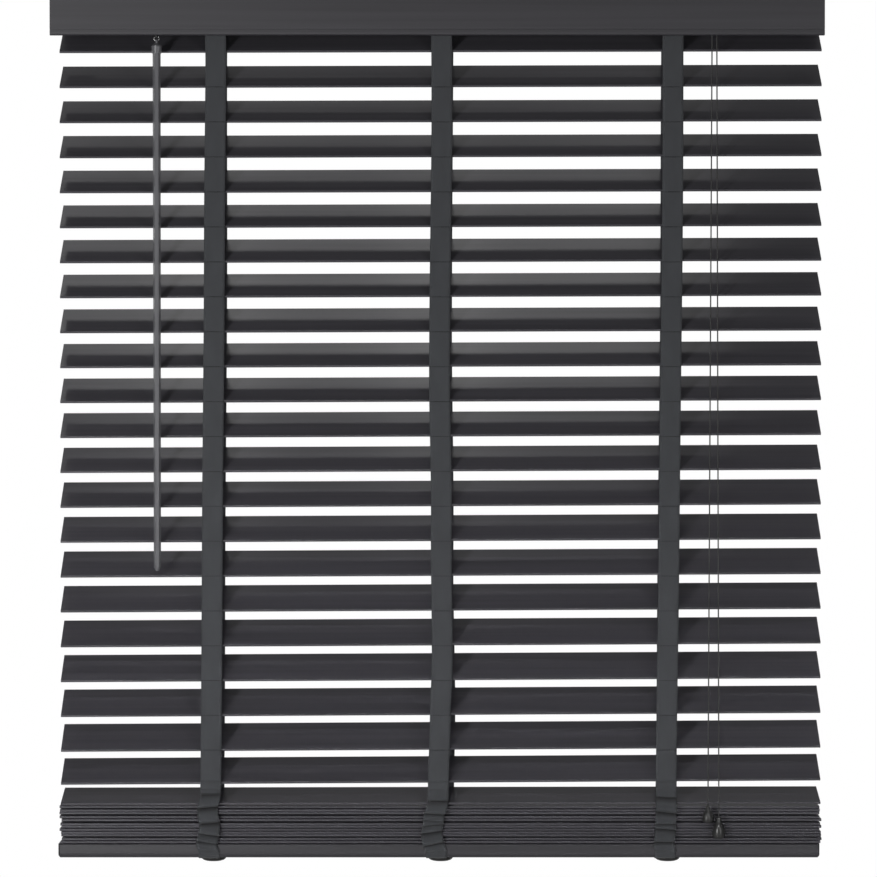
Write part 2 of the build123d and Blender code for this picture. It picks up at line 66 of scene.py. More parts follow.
# %% Sizes shared by the soft parts, in millimetres as on the drawing
LADDERS = (-275, 0, 275)
PITCH = 42
FIRST_SLAT = -83
HANGING = 22
SLAT_LENGTH = 916
SLAT_WIDTH = 50
SLAT_THICK = 3
TILT = math.radians(34)
LAST_TILT = math.radians(31)
LAST_SLAT_LIFT = 1.3
LAST_SLAT = FIRST_SLAT - PITCH * (HANGING - 1) + LAST_SLAT_LIFT
RAIL_TOP = -1051
RAIL_BOTTOM = -1068
TAPE_WIDTH = 25
TAPE_THICK = 0.6
TAPE_PLAY = 2.4
TAPE_Y = SLAT_WIDTH / 2 * math.cos(TILT) + TAPE_PLAY
ROD_Z = -24
DRUM_WRAP = 11.7
LEAN = math.radians(0.34)
LEAN_MIDDLE = -570


def slat_height(number):
    return LAST_SLAT if number == HANGING else FIRST_SLAT - PITCH * (number - 1)


def slat_tilt(number):
    return LAST_TILT if number == HANGING else TILT


def edge_height(number, side):
    """Height of a slat's front edge, for side -1, or of its back edge, for side 1."""
    return slat_height(number) + side * SLAT_WIDTH / 2 * math.sin(slat_tilt(number))


def ladder_x(ladder, z):
    """A ladder leans a little, so its middle moves left on the way down."""
    return ladder + (z - LEAN_MIDDLE) * math.tan(LEAN)


print("slat heights", slat_height(1), "to", round(slat_height(HANGING), 1))

# %% [markdown]
# The photograph is a frontal view from about four metres with a long lens. A camera at the same
# place, turned down by one degree, gives the same slight narrowing from the front edges to the
# back edges of the slats. It could be found by eye, but it was worked out from measured edges.

# %% Camera
camera = bpy.data.objects.new("camera", bpy.data.cameras.new("camera"))
bpy.context.scene.collection.objects.link(camera)
camera.location = (-0.0025, -4.042, -0.4883)
camera.rotation_euler = (math.radians(90 - 1.052), 0, 0)
camera.data.sensor_width = 36
camera.data.lens = 137.1
camera.data.clip_end = 50
bpy.context.scene.camera = camera
print("camera lens", camera.data.lens)

# %% [markdown]
# Two tall soft lights stand in front, left and right of the blind, at the height of its middle.
# Their shadows of the tapes fall sideways on the tilted slats and make the dark wedges beside each
# tape. A narrow beam from above lights the front parts of the lowest slats, and three narrow beams
# from above and behind put a sheen on the rear parts of the middle ones. The world is white for the
# camera, dimmer in reflections, and dimmer still for the light that reaches the object. Two more
# lights low behind keep the back readable. The floor glows a little for the camera, so it stays
# pale where no lamp reaches it and still shows a soft shadow.

# %% Light, world and floor


def soft_light(name, place, aim, size, power, spread=180):
    """A rectangular light; a small spread keeps its beam narrow."""
    light = bpy.data.lights.new(name, "AREA")
    light.shape = "RECTANGLE"
    light.size, light.size_y = size
    light.energy = power
    light.spread = math.radians(spread)
    lamp = bpy.data.objects.new(name, light)
    bpy.context.scene.collection.objects.link(lamp)
    lamp.location = place
    lamp.rotation_euler = (Vector(aim) - Vector(place)).to_track_quat("-Z", "Y").to_euler()
    return lamp


MIDDLE = (0, 0, -0.5)
soft_light("key_left", (-1.4, -2.35, -0.65), MIDDLE, (0.3, 1.1), 41)
soft_light("key_right", (1.55, -2.35, -0.6), MIDDLE, (0.7, 1.1), 16)
soft_light("low_beam", (-0.2, -2.2, 0.6), (0, 0, -0.9), (1.4, 0.3), 0.5, 18)
for x in (-0.42, -0.14, 0.14):
    soft_light("sheen_beam", (1.4 * x, 0.66, 1.17), (x, 0, -0.42), (0.4, 0.12), 0.0036, 8)
soft_light("rear_left", (-2.2, 2.5, -0.2), MIDDLE, (0.9, 1.1), 30)
soft_light("rear_right", (2.4, 2.3, -0.3), MIDDLE, (0.9, 1.1), 24)

ROOM_LIGHT = 0.08
MIRRORED_SHARE = 0.12
world = bpy.data.worlds.new("studio")
bpy.context.scene.world = world
world.use_nodes = True
sky, sky_links = world.node_tree.nodes, world.node_tree.links
sky.clear()
sky_out = sky.new("ShaderNodeOutputWorld")
sky_mix = sky.new("ShaderNodeMixShader")
room = sky.new("ShaderNodeBackground")
room.inputs["Color"].default_value = (1, 1, 1, 1)
room.inputs["Strength"].default_value = ROOM_LIGHT
backdrop = sky.new("ShaderNodeBackground")
backdrop.inputs["Color"].default_value = (1, 1, 1, 1)
backdrop.inputs["Strength"].default_value = 1
ray = sky.new("ShaderNodeLightPath")
mirrored = sky.new("ShaderNodeMath")
mirrored.operation = "MULTIPLY"
mirrored.inputs[1].default_value = MIRRORED_SHARE
seen_or_mirrored = sky.new("ShaderNodeMath")
white_share = sky.new("ShaderNodeMath")
seen_or_mirrored.operation = white_share.operation = "MAXIMUM"
sky_links.new(ray.outputs["Is Glossy Ray"], mirrored.inputs[0])
sky_links.new(ray.outputs["Is Camera Ray"], seen_or_mirrored.inputs[0])
sky_links.new(mirrored.outputs[0], seen_or_mirrored.inputs[1])
sky_links.new(seen_or_mirrored.outputs[0], white_share.inputs[0])
sky_links.new(ray.outputs["Is Transmission Ray"], white_share.inputs[1])
sky_links.new(white_share.outputs[0], sky_mix.inputs["Fac"])
sky_links.new(room.outputs[0], sky_mix.inputs[1])
sky_links.new(backdrop.outputs[0], sky_mix.inputs[2])
sky_links.new(sky_mix.outputs[0], sky_out.inputs["Surface"])
bpy.context.scene.view_settings.view_transform = "Standard"

FLOOR_Z = -1.75
FLOOR_GLOW = 0.7
floor_mesh = bpy.data.meshes.new("floor")
corners = [(-4, -5, FLOOR_Z), (4, -5, FLOOR_Z), (4, 3, FLOOR_Z), (-4, 3, FLOOR_Z)]
floor_mesh.from_pydata(corners, [], [(0, 1, 2, 3)])
floor = bpy.data.objects.new("floor", floor_mesh)
bpy.context.scene.collection.objects.link(floor)
floor_paint = bpy.data.materials.new("pale_floor")
floor_paint.use_nodes = True
paint, paint_links = floor_paint.node_tree.nodes, floor_paint.node_tree.links
floor_shader = paint["Principled BSDF"]
floor_shader.inputs["Base Color"].default_value = (0.8, 0.8, 0.8, 1)
floor_shader.inputs["Roughness"].default_value = 0.9
floor_shader.inputs["Emission Color"].default_value = (1, 1, 1, 1)
floor_ray = paint.new("ShaderNodeLightPath")
glow = paint.new("ShaderNodeMath")
glow.operation = "MULTIPLY"
glow.inputs[1].default_value = FLOOR_GLOW
paint_links.new(floor_ray.outputs["Is Camera Ray"], glow.inputs[0])
paint_links.new(glow.outputs[0], floor_shader.inputs["Emission Strength"])
floor_mesh.materials.append(floor_paint)
print("lights and floor set")

# %% [markdown]
# Every finish starts from one Principled shader. A small helper chains nodes, so that each finish
# reads as a short list: a pattern, a ramp of close tones, and a bump.

# %% A helper for finishes


def feed(links, socket, value):
    """Link a socket to another one, or set its own value."""
    if isinstance(value, bpy.types.NodeSocket):
        links.new(value, socket)
    else:
        socket.default_value = value


class Finish:
    """One material; add() makes a node and sets its inputs, and wires links given as sockets."""

    def __init__(self, name, roughness, metallic=0.0):
        self.material = bpy.data.materials.new(name)
        self.material.use_nodes = True
        self.nodes = self.material.node_tree.nodes
        self.links = self.material.node_tree.links
        self.shader = self.nodes["Principled BSDF"]
        self.shader.inputs["Roughness"].default_value = roughness
        self.shader.inputs["Metallic"].default_value = metallic
        self.place = self.nodes.new("ShaderNodeTexCoord")

    def add(self, kind, **inputs):
        node = self.nodes.new(kind)
        for key, value in inputs.items():
            feed(self.links, node.inputs[key.replace("_", " ")], value)
        return node

    def stretched(self, scale, shift=(0, 0, 0), source="Object"):
        place = self.place.outputs[source]
        return self.add("ShaderNodeMapping", Vector=place, Scale=scale, Location=shift).outputs[0]

    def noise(self, vector, detail=3.0, rough=0.55):
        node = self.add("ShaderNodeTexNoise", Vector=vector, Scale=1.0, Detail=detail, Roughness=rough)
        return node.outputs["Fac"]

    def ramp(self, value, *stops):
        node = self.add("ShaderNodeValToRGB", Fac=value)
        marks = node.color_ramp.elements
        while len(marks) < len(stops):
            marks.new(0.5)
        for mark, (place, tone) in zip(marks, stops):
            mark.position = place
            mark.color = (*tone, 1)
        return node.outputs["Color"]

    def mix(self, kind, share, one, two):
        node = self.nodes.new("ShaderNodeMix")
        node.data_type = "RGBA"
        node.blend_type = kind
        for index, value in ((0, share), (6, one), (7, two)):
            feed(self.links, node.inputs[index], value)
        return node.outputs[2]

    def paint(self, colour):
        self.links.new(colour, self.shader.inputs["Base Color"])

    def rough(self, value, low, high):
        node = self.add("ShaderNodeMapRange", Value=value, To_Min=low, To_Max=high)
        self.links.new(node.outputs[0], self.shader.inputs["Roughness"])

    def bump(self, height, strength, distance):
        node = self.add("ShaderNodeBump", Height=height, Strength=strength, Distance=distance)
        self.links.new(node.outputs[0], self.shader.inputs["Normal"])


def tones(grey, spread, tint=(1, 1, 1)):
    """Two close tones round a grey, given as the screen value from 0 to 255."""
    linear = (grey / 255) ** 2.2
    return [tuple(linear * factor * t for t in tint) for factor in (1 - spread, 1 + spread)]


print("finish helper ready")

# %% [markdown]
# The slats, valance and rail are thin wood under a satin dark grey paint. The grain runs along the
# length and just shows as fine streaks. Noise squeezed across the grain gives the streaks, and it
# reads object coordinates, so each slat keeps its own cut of the board.

# %% Painted wood


def painted_wood(name, grey, seed, roughness):
    wood = Finish(name, roughness)
    fine = wood.noise(wood.stretched((2.5, 190, 190), (seed, seed, 0)), 2.0, 0.5)
    broad = wood.noise(wood.stretched((0.9, 34, 34), (0, seed, seed)), 2.0)
    dark, light = tones(grey, 0.14, (0.975, 0.94, 1.09))
    streaks = wood.ramp(fine, (0.3, dark), (0.72, light))
    worn = wood.ramp(broad, (0.25, (0.88,) * 3), (0.75, (1.1,) * 3))
    wood.paint(wood.mix("MULTIPLY", 1.0, streaks, worn))
    wood.rough(broad, roughness - 0.05, roughness + 0.05)
    wood.bump(broad, 0.15, 0.0002)
    return wood.material


slat_paint = painted_wood("slat_paint", 72, 1.0, 0.31)
valance_paint = painted_wood("valance_paint", 57, 4.0, 0.5)
rail_paint = painted_wood("rail_paint", 55, 7.0, 0.45)
print("painted wood", slat_paint.name, valance_paint.name, rail_paint.name)

# %% [markdown]
# Ladder tape is a woven ribbon. Each ribbon carries its own map in millimetres, across and along,
# so two crossed wave patterns make the weave at its true size wherever the ribbon bends. Where two
# folds tuck into each other almost no light comes in, so an attribute darkens the cloth there.

# %% Woven tape


def woven_tape(name, grey):
    tape = Finish(name, 0.86)
    uv = tape.place.outputs["UV"]
    across = tape.nodes.new("ShaderNodeTexWave")
    along = tape.nodes.new("ShaderNodeTexWave")
    across.bands_direction, along.bands_direction = "X", "Y"
    for wave, scale in ((across, 0.42), (along, 0.3)):
        tape.links.new(uv, wave.inputs["Vector"])
        wave.inputs["Scale"].default_value = scale
        wave.inputs["Distortion"].default_value = 0.4
    weave = tape.mix("MULTIPLY", 1.0, across.outputs["Color"], along.outputs["Color"])
    cloud = tape.noise(tape.stretched((0.05, 0.02, 1), source="UV"))
    dark, light = tones(grey, 0.1, (0.93, 0.99, 1.1))
    colour = tape.ramp(cloud, (0.3, dark), (0.7, light))
    woven = tape.mix("MULTIPLY", 0.35, colour, weave)
    # Painted shade: where two folds meet, an attribute mixes the cloth towards near black.
    painted_crease_shade = tape.nodes.new("ShaderNodeAttribute")
    painted_crease_shade.attribute_name = "painted_crease_shade"
    tape.paint(tape.mix("MIX", painted_crease_shade.outputs["Fac"], woven, (0.004, 0.004, 0.005, 1)))
    tape.bump(weave, 0.35, 0.0002)
    tape.shader.inputs["Sheen Weight"].default_value = 0.12
    tape.shader.inputs["Sheen Roughness"].default_value = 0.5
    return tape.material


tape_cloth = woven_tape("tape_cloth", 70)
thread = woven_tape("seam_thread", 34)
print("woven tape", tape_cloth.name, thread.name)

# %% [markdown]
# The other finishes are plain: braided cord, powder-coated steel with a fine orange peel, moulded
# plastic with a soft mottle, drawn aluminium with lines along the rod, and bright wire.

# %% Cord, metals and plastics


def braid(name, grey):
    cord = Finish(name, 0.8)
    wave = cord.nodes.new("ShaderNodeTexWave")
    wave.bands_direction = "DIAGONAL"
    wave.inputs["Scale"].default_value = 0.5
    cord.links.new(cord.place.outputs["UV"], wave.inputs["Vector"])
    dark, light = tones(grey, 0.3)
    cord.paint(cord.ramp(wave.outputs["Fac"], (0.2, dark), (0.8, light)))
    cord.bump(wave.outputs["Fac"], 0.4, 0.0002)
    return cord.material


def coated(name, grey, roughness, spread, grain, bump_depth, metallic=0.0, tint=(1, 1, 1)):
    coat = Finish(name, roughness, metallic)
    speckle = coat.noise(coat.stretched(grain))
    dark, light = tones(grey, spread, tint)
    coat.paint(coat.ramp(speckle, (0.3, dark), (0.7, light)))
    coat.rough(speckle, max(roughness - 0.06, 0.05), roughness + 0.08)
    coat.bump(speckle, 0.2, bump_depth)
    return coat.material


cord_braid = braid("cord_braid", 58)
powder_coat = coated("powder_coat", 56, 0.45, 0.08, (900, 900, 900), 0.0001)
black_plastic = coated("black_plastic", 30, 0.5, 0.12, (500, 500, 500), 0.0001)
plug_plastic = coated("plug_plastic", 26, 0.38, 0.12, (400, 400, 400), 0.0001)
tassel_plastic = coated("tassel_plastic", 42, 0.3, 0.1, (300, 300, 300), 0.00005)
wand_plastic = coated("wand_plastic", 94, 0.3, 0.07, (400, 400, 14), 0.0001, tint=(0.98, 0.98, 1.06))
drawn_rod = coated("drawn_rod", 200, 0.3, 0.08, (12, 1200, 1200), 0.00005, metallic=1.0)
bright_wire = coated("bright_wire", 130, 0.25, 0.08, (700, 700, 700), 0.00003, metallic=1.0)
print("plain finishes made")

# %% [markdown]
# The rigid parts are already right in shape, so they stay as measured and only get their paint.

# %% Paint the measured parts that stay
keep = {
    "valance": valance_paint,
    "valance_clips": black_plastic,
    "brackets": powder_coat,
    "headrail": powder_coat,
    "cradles": black_plastic,
    "tilter_housing": black_plastic,
    "cord_lock": black_plastic,
    "tilt_rod": drawn_rod,
    "tilter_worm": black_plastic,
    "wand": wand_plastic,
    "bottom_rail": rail_paint,
}
for number in range(1, HANGING + 1):
    keep[f"slat_{number:02d}"] = slat_paint
for node, finish in keep.items():
    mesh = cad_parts[node].data
    mesh.materials.clear()
    mesh.materials.append(finish)
print("painted", len(keep), "measured parts")

# %% [markdown]
# Soft pieces are made as plain meshes from rows of points. Helpers turn the rows into a closed
# ribbon with its own map, and give the mesh its material and its place on a body.

# %% A helper for pieces


def new_piece(name, mesh, finish, body=None, replaces=()):
    piece = bpy.data.objects.new(name, mesh)
    bpy.context.scene.collection.objects.link(piece)
    mesh.materials.clear()
    mesh.materials.append(finish)
    for face in mesh.polygons:
        face.use_smooth = True
    if body:
        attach(piece, body)
    if replaces:
        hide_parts(*replaces)
    return piece


def outward_mesh(name, verts, faces, maps=None):
    """A mesh whose faces point outwards, with a map that gives each point its place."""
    mesh = bpy.data.meshes.new(name)
    mesh.from_pydata(verts, [], faces)
    if maps:
        uv = mesh.uv_layers.new(name="UVMap")
        for loop in mesh.loops:
            uv.data[loop.index].uv = maps[loop.vertex_index]
    clean = bmesh.new()
    clean.from_mesh(mesh)
    bmesh.ops.recalc_face_normals(clean, faces=clean.faces)
    clean.to_mesh(mesh)
    clean.free()
    return mesh


def ribbon_mesh(name, strips):
    """Closed ribbons from strips; a strip is rows of points in millimetres, left to right."""
    verts, faces, maps = [], [], []
    for rows in strips:
        base, down, wide = len(verts), len(rows), len(rows[0])
        for layer in (1, -1):
            run = 0.0
            for i, row in enumerate(rows):
                before, after = rows[max(i - 1, 0)], rows[min(i + 1, down - 1)]
                if i:
                    run += (row[wide // 2] - rows[i - 1][wide // 2]).length
                for j, point in enumerate(row):
                    left, right = row[max(j - 1, 0)], row[min(j + 1, wide - 1)]
                    normal = (right - left).cross(after[j] - before[j]).normalized()
                    verts.append((point + normal * TAPE_THICK / 2 * layer) * MM)
                    maps.append((j / (wide - 1) * TAPE_WIDTH, run))
        other = base + down * wide
        for i in range(down - 1):
            for j in range(wide - 1):
                a = base + i * wide + j
                faces.append((a, a + wide, a + wide + 1, a + 1))
                b = other + i * wide + j
                faces.append((b, b + 1, b + wide + 1, b + wide))
            a, b = base + i * wide, other + i * wide
            faces.append((a, b, b + wide, a + wide))
            a, b = a + wide - 1, b + wide - 1
            faces.append((a, a + wide, b + wide, b))
        for j in range(wide - 1):
            a, b = base + j, other + j
            faces.append((a, a + 1, b + 1, b))
            a, b = a + (down - 1) * wide, b + (down - 1) * wide
            faces.append((a, b, b + 1, a + 1))
    return outward_mesh(name, verts, faces, maps)


print("ribbon helper ready")

# %% [markdown]
# The pull cords come first, because they are free: each leaves the lock behind the valance and
# hangs to its tassel. A cord under load is nearly straight. Its route is a smooth spline through
# listed points, and a thin tube follows the spline. Inside the blind the cords carry the rail,
# which draws them a little thinner.

# %% Pull cords and lift cords
CORD_R = 0.8
LOADED_R = 0.7


def spline_points(points, steps):
    """Points along a smooth spline with these control points, in millimetres."""
    curve = bpy.data.curves.new("route", "CURVE")
    curve.dimensions = "3D"
    spline = curve.splines.new("NURBS")
    spline.points.add(len(points) - 1)
    for mark, point in zip(spline.points, points):
        mark.co = (*[v * MM for v in point], 1)
    spline.order_u = 3
    spline.use_endpoint_u = True
    curve.resolution_u = steps
    carrier = bpy.data.objects.new("route", curve)
    bpy.context.scene.collection.objects.link(carrier)
    bpy.context.view_layer.update()
    line = bpy.data.meshes.new_from_object(carrier.evaluated_get(bpy.context.evaluated_depsgraph_get()))
    found = [v.co.copy() for v in line.vertices]
    bpy.data.objects.remove(carrier)
    bpy.data.meshes.remove(line)
    return found


def tube_mesh(name, lines, radius, sides=8):
    """Closed tubes along lines of points in metres, with a map in millimetres."""
    verts, faces, maps = [], [], []
    for line in lines:
        base, run, side = len(verts), 0.0, Vector((1, 0, 0))
        for i, point in enumerate(line):
            along = (line[min(i + 1, len(line) - 1)] - line[max(i - 1, 0)]).normalized()
            side = (side - along * side.dot(along)).normalized()
            other = along.cross(side)
            if i:
                run += (point - line[i - 1]).length / MM
            for k in range(sides):
                turn = 2 * math.pi * k / sides
                verts.append(point + (side * math.cos(turn) + other * math.sin(turn)) * radius * MM)
                maps.append((k / sides * 2 * math.pi * radius, run))
        for i in range(len(line) - 1):
            for k in range(sides):
                a, b = base + i * sides + k, base + i * sides + (k + 1) % sides
                faces.append((a, b, b + sides, a + sides))
        faces.append(tuple(base + k for k in reversed(range(sides))))
        faces.append(tuple(base + (len(line) - 1) * sides + k for k in range(sides)))
    return outward_mesh(name, verts, faces, maps)


def run_length(line):
    return sum((b - a).length for a, b in zip(line, line[1:]))


pull_routes = {
    "pull_cord_right_ladder": [
        (325.2, -35, -46),
        (325.15, -35.2, -56),
        (321.5, -35, -990),
        (321.5, -35, -1003.9),
    ],
    "pull_cord_centre_ladder": [
        (330.6, -35, -46),
        (330.65, -35.2, -56),
        (334.6, -35, -1004),
        (334.6, -35, -1017),
    ],
}
pull_cords = {}
for name, route in pull_routes.items():
    line = spline_points(route, 24)
    cord = new_piece(name, tube_mesh(name, [line], CORD_R), cord_braid, replaces=["lift_cords"])
    pull_cords[name] = (cord, line)
    print(name, "length", round(run_length(line), 4))

lift_lines = [[Vector((x, 0, z)) * MM for z in (-1061.5, -800, -500, -200, -44)] for x in LADDERS]
lift_mesh = tube_mesh("lift", lift_lines, LOADED_R)
lift_cords = new_piece("lift_cords_in_blind", lift_mesh, cord_braid, "headrail")
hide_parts("lift_cords")
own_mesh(lift_cords)
rail_routes = [
    [
        (275, 0, -52),
        (275.5, 0, -44),
        (283, -0.2, -42),
        (299, -0.5, -42),
        (325, -34, -42),
        (325.2, -35.4, -46.5),
    ],
    [
        (0, 0, -52),
        (0.5, 0, -44),
        (8, 1.2, -42),
        (26, 3.4, -42),
        (301, 4.2, -42),
        (330.4, -34, -42),
        (330.6, -35.4, -46.5),
    ],
    [
        (-275, 0, -52),
        (-274.5, 0, -44),
        (-267, 2, -42),
        (-248, 6.6, -42),
        (205, 7.4, -42),
        (235, 4.4, -42),
    ],
]
rail_lines = [spline_points(route, 12) for route in rail_routes]
new_piece("lift_cords_in_headrail", tube_mesh("run", rail_lines, CORD_R), cord_braid, "headrail")
print("lift cords", len(lift_lines) + len(rail_lines))

# %% [markdown]
# The tassels are turned bells of satin plastic. A profile spun round the cord gives the shape, as
# on a lathe; the narrow neck holds the knot. The domed plugs that close the rail's cord holes are
# turned in the same way, and the wand's ring is a tube bent to a circle.

# %% Tassels, plugs and the wand's ring


def turned(profile, centre, sides=48):
    """Points and faces of a turned shape; profile is (radius, height) from end to end."""
    verts, faces = [], []
    for radius, z in profile:
        for k in range(sides):
            turn = 2 * math.pi * k / sides
            x, y = centre[0] + radius * math.cos(turn), centre[1] + radius * math.sin(turn)
            verts.append(Vector((x, y, z)) * MM)
    for i in range(len(profile) - 1):
        for k in range(sides):
            a, b = i * sides + k, i * sides + (k + 1) % sides
            faces.append((a, b, b + sides, a + sides))
    faces.append(tuple(reversed(range(sides))))
    faces.append(tuple((len(profile) - 1) * sides + k for k in range(sides)))
    return verts, faces


def joined(name, parts):
    verts, faces = [], []
    for part_verts, part_faces in parts:
        base = len(verts)
        verts += part_verts
        faces += [tuple(base + i for i in face) for face in part_faces]
    return outward_mesh(name, verts, faces)


# Shares of a tassel's radius, and of its height from the top
BELL = (
    (0.2, 0.0), (0.3, 0.01), (0.34, 0.05), (0.37, 0.12), (0.44, 0.2), (0.56, 0.28),
    (0.72, 0.38), (0.86, 0.48), (0.95, 0.58), (0.99, 0.67), (1.0, 0.75), (0.98, 0.83),
    (0.91, 0.9), (0.78, 0.96), (0.62, 1.0), (0.5, 0.985),
)
for name, x, top, bottom, radius in (
    ("tassel_right_ladder", 321.5, -1003.95, -1024.2, 6.9),
    ("tassel_centre_ladder", 334.6, -1017.05, -1042.8, 7.9),
):
    outline = [(share * radius, top - depth * (top - bottom)) for share, depth in BELL]
    mesh = joined(name, [turned(outline, (x, -35))])
    new_piece(name, mesh, tassel_plastic, "tassels", ["tassels"])

flange_top = RAIL_BOTTOM - TAPE_THICK - 0.5
dome = ((10.9, RAIL_BOTTOM + 1.4), (10.9, flange_top), (14.6, flange_top), (15, flange_top - 0.5))
dome += ((14.9, flange_top - 1.6), (14.2, flange_top - 2.8), (12.6, flange_top - 4.0), (10, flange_top - 4.9))
dome += ((6.5, flange_top - 5.3), (3, flange_top - 5.4))
plugs = joined("rail_plugs_domed", [turned(dome, (x, 0)) for x in LADDERS])
new_piece("rail_plugs_domed", plugs, plug_plastic, "bottom_rail", ["rail_plugs"])

RING_CENTRE = Vector((-340, -35.281, -83))
RING_R = 3
WIRE_R = 0.78
ring_line = []
for k in range(25):
    turn = 2 * math.pi * k / 24
    ring_line.append((RING_CENTRE + RING_R * Vector((math.sin(turn), 0, math.cos(turn)))) * MM)
ring_mesh = tube_mesh("ring", [ring_line], WIRE_R, 10)
new_piece("wand_ring", ring_mesh, bright_wire, "wand_hook", ["wand_hook"])
print("turned pieces made")

# %% [markdown]
# Each ladder tape is one woven ribbon, from its drum in the headrail to the plug under the rail.
# It is made in four stretches, because they move differently: the top stays with the headrail,
# the long hanging stretch follows the slats' front or back edges, a short link joins it to the
# bunch, and the bunch of folds stays on the gathered slats.

# %% The hanging stretches
WIDE = 9

# Heights on each tape, front ones first, and how far it hangs to the right of its ladder there
DRIFT = {
    (-275, -1): ((-30, 0.8), (-120, 2.5), (-330, 1.5), (-700, 1.0), (-980, 0.2)),
    (0, -1): ((-30, -2.2), (-210, -0.8), (-480, -2.0), (-660, 1.2), (-830, 3.6), (-900, 1.6), (-980, -0.4)),
    (275, -1): ((-30, 1.2), (-350, 2.2), (-700, 0.6), (-980, -0.4)),
    (-275, 1): ((-30, 0.5), (-330, 1.6), (-980, 1.2)),
    (0, 1): ((-30, 0), (-420, 0.6), (-700, 4.0), (-900, 7.5), (-980, 6.5)),
    (275, 1): ((-30, 2.6), (-350, 3.4), (-980, 2.4)),
}


def drift(ladder, side, z):
    """How far a tape hangs to the side of its ladder's line at this height."""
    marks = DRIFT[(ladder, side)]
    for (high, first), (low, second) in zip(marks, marks[1:]):
        if low <= z <= high:
            part = (high - z) / (high - low)
            return first + (second - first) * part * part * (3 - 2 * part)
    return marks[0][1] if z > marks[0][0] else marks[-1][1]


def tape_row(ladder, z, y, shift=0.0, slant=0.0, ripple=0.0):
    """One row of a tape, from its left edge to its right edge."""
    centre = ladder_x(ladder, z) + drift(ladder, 1 if y > 0 else -1, z) + shift
    row = []
    for j in range(WIDE):
        across = j / (WIDE - 1) - 0.5
        bend = ripple * math.cos(math.pi * 2 * across)
        row.append(Vector((centre + across * TAPE_WIDTH, y + bend, z + slant * across)))
    return row


def drum_rows(ladder, side):
    """Round the drum, from its top to where the tape leaves it."""
    rows = []
    for angle in range(60, -1, -10):
        turn = math.radians(angle)
        z = ROD_Z + DRUM_WRAP * math.sin(turn)
        rows.append(tape_row(ladder, z, side * DRUM_WRAP * math.cos(turn)))
    return rows


def top_rows(ladder, side):
    """From the drum down to the first slat, just inside the hanging stretch at its end."""
    rows = []
    edge, inside = edge_height(1, side), TAPE_Y - 1.1
    for step in range(9):
        part = step / 8
        reach = DRUM_WRAP + (inside - DRUM_WRAP) * part
        rows.append(tape_row(ladder, ROD_Z + (edge - ROD_Z) * part, side * reach))
    if side > 0:
        rows.append(tape_row(ladder, edge - 26, side * inside))
    return rows


def tape_reach(z, side):
    """How far out a tape hangs; it draws in a little at each cross tape and bellies between."""
    lift = (z - edge_height(1, side)) / PITCH
    ease = 0.8 * min(max((FIRST_SLAT - z) / 880, 0), 1)
    return TAPE_Y + 0.15 + ease - 0.17 * math.cos(2 * math.pi * lift) + 0.06 * math.sin(z * 0.021)


def hanging_rows(ladder, side, seed):
    """Down the edges of the hanging slats, swaying a little to the sides."""
    phase = random.Random(seed).uniform(0, 6)
    rows = []
    z = -70 if side < 0 else -60
    end = edge_height(HANGING, side)
    while z > end:
        sway = 0.25 * math.sin(z * 0.013 + phase)
        rows.append(tape_row(ladder, z, side * tape_reach(z, side), shift=sway, ripple=-side * 0.07))
        z -= PITCH / 8
    rows.append(tape_row(ladder, end, side * tape_reach(end, side), ripple=-side * 0.07))
    return rows


def shorten_when_raised(piece):
    """Give a piece of the hanging tape a mesh of its own."""
    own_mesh(piece)


for side, name, body in ((-1, "front", "front_tapes"), (1, "back", "back_tapes")):
    wraps = ribbon_mesh("wrap", [drum_rows(x, side) for x in LADDERS])
    new_piece(f"tape_wraps_{name}", wraps, tape_cloth, "headrail")
    tops = ribbon_mesh("top", [top_rows(x, side) for x in LADDERS])
    top = new_piece(f"tape_tops_{name}", tops, tape_cloth, "headrail")
    if side < 0:
        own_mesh(top)
    for index, ladder in enumerate(LADDERS):
        rows = hanging_rows(ladder, side, 10 * index + side)
        ribbon = ribbon_mesh("tape", [rows])
        tape = new_piece(f"tape_{name}_{index + 1}", ribbon, tape_cloth, body, [body])
        shorten_when_raised(tape)
        length = (rows[0][0].z - rows[-1][0].z) * MM
    print(name, "tapes, hanging length", round(length / MM, 1))

# %% [markdown]
# On the gathered slats the spare tape lies in a bunch of folds. No two bunches fold alike: each
# crease has its own height, slant and sideways slip. A fold swells out below its crease and tucks
# in sharply at the next, so light from the front leaves a faint dark line under each fold; painted
# shade along each crease makes that line dark.

# %% The bunches of folds
# For each crease of each bunch, front ones first: its height, how much higher its right end lies
# than its left, and how far the tape has slipped to the right
CREASES = {
    -1: (
        (
            (-988.8, 0, 0),
            (-1005.5, 2.3, -3.6),
            (-1024.6, 2.2, -0.4),
            (-1038.6, -4, -1.4),
            (-1047.3, -4.4, -4.8),
        ),
        (
            (-997.8, 0, 0),
            (-1013.4, -1.8, -4.8),
            (-1021.2, -2.2, -5.6),
            (-1026, 4.2, -6),
            (-1035, 3, -8),
            (-1050, 6, -5),
        ),
        ((-993, -1, 0), (-1011.6, -3, 0), (-1025.5, 1, -1), (-1030.6, -2.5, -1), (-1047.3, 0, -2.5)),
    ),
    1: (
        ((-990, 1, 0), (-1004, -2, 2), (-1019, 2, -1), (-1031, 3, 1), (-1045, -3, 3)),
        ((-992, 0, 0), (-1008, 3, -2), (-1022, -2, 1), (-1036, -3, 3), (-1047, 2, 1)),
        ((-989, -1, 0), (-1006, 2, 2), (-1018, 3, 3), (-1032, -2, 1), (-1046, 2, -2)),
    ),
}
BUNCH_TOP = -986
BUNCH_END = -1058
CORNER_R = 6.7


